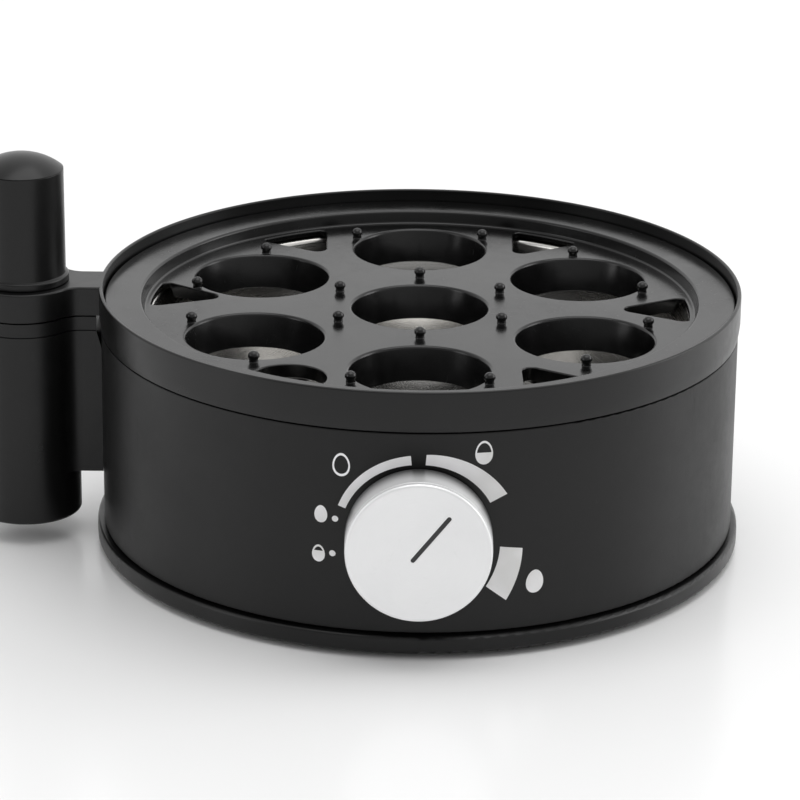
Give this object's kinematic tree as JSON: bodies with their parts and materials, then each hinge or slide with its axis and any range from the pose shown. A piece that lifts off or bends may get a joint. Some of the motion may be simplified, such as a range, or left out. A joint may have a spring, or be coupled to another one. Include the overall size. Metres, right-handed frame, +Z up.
{
  "type": "egg cooker",
  "caption": "Round electric egg cooker with a lift-out egg tray over a steel pan, a turning front knob and a side holder for a measuring cup with a capped piercing needle.",
  "frame": {"origin": "centre of the footprint box, on the surface the cooker stands on", "axes": "+Z up, the control knob faces -Y, the side holder stands on the -X side"},
  "size_m": [0.212, 0.1888, 0.1086],
  "materials": {
    "fastener_steel": "zinc-plated",
    "base_black": "fine moulded texture, satin",
    "band_black": "satin black with a fine even grain",
    "board_green": "solder-resist green",
    "rubber_black": "black rubber",
    "print_grey": "light grey screen print",
    "tray_black": "polished black moulding",
    "capacitor_yellow": "capacitor case",
    "plain_steel": "zinc-plated sheet",
    "aluminium": "rolled sheet",
    "element_sheath": "oxidised sheath",
    "pan_steel": "drawn stainless sheet",
    "lead_silicone": "silicone insulation",
    "knob_silver": "satin silver lacquer",
    "pointer_dark": "dark inlay",
    "cup_black": "satin black moulding",
    "seal_silicone": "red silicone",
    "relay_blue": "relay case",
    "switch_plastic": "glass-filled nylon",
    "foot_rubber": "soft black rubber",
    "brass": "plain brass",
    "block_white": "white nylon",
    "fuse_metal": "tinned case",
    "phenolic": "phenolic body",
    "collar_black": "satin black moulding"
  },
  "bodies": {
    "cooker_body": {"base_screws": "fastener_steel", "base_shell": "base_black", "board_screws": "fastener_steel", "body_band": "band_black", "bracket_screws": "fastener_steel", "buzzer": "switch_plastic", "control_board": "board_green", "cord_gland": "rubber_black", "dial_marks": "print_grey", "earth_rivet": "aluminium", "earth_tag": "brass", "filter_capacitor": "capacitor_yellow", "fuse_clip": "fastener_steel", "heat_shield": "plain_steel", "heat_spreader": "aluminium", "heating_element": "element_sheath", "heating_pan": "pan_steel", "holder_screws": "fastener_steel", "internal_leads": "lead_silicone", "pan_nuts": "fastener_steel", "pan_seal": "seal_silicone", "power_relay": "relay_blue", "rear_panel": "band_black", "rotary_switch": "switch_plastic", "rubber_feet": "foot_rubber", "side_holder": "collar_black", "switch_nut": "brass", "terminal_block": "block_white", "terminal_screws": "brass", "thermal_fuse": "fuse_metal", "thermostat": "phenolic", "thermostat_bracket": "fastener_steel", "top_collar": "collar_black"},
    "tray": {"egg_tray": "tray_black", "tray_studs": "tray_black"},
    "knob_body": {"knob": "knob_silver", "knob_pointer": "pointer_dark", "control_shaft": "fastener_steel"},
    "cup": {"measuring_cup": "cup_black", "piercer_needle": "fastener_steel"},
    "needle_cap": {"piercer_cap": "cup_black"}
  },
  "joints": [
    {"name": "knob_turn", "type": "hinge", "parent": "cooker_body", "child": "knob_body", "pos_m": [0.01717, -0.0888, 0.0337], "axis": [0, 1, 0], "range_deg": [-142, 92]},
    {"name": "tray_lift", "type": "slide", "parent": "cooker_body", "child": "tray", "axis": [0, 0, 1], "range_m": [0, 0.06]},
    {"name": "cup_lift", "type": "slide", "parent": "cooker_body", "child": "cup", "axis": [0, 0, 1], "range_m": [0, 0.09]},
    {"name": "cap_pull", "type": "slide", "parent": "cup", "child": "needle_cap", "axis": [0, 0, 1], "range_m": [0, 0.025]}
  ]
}
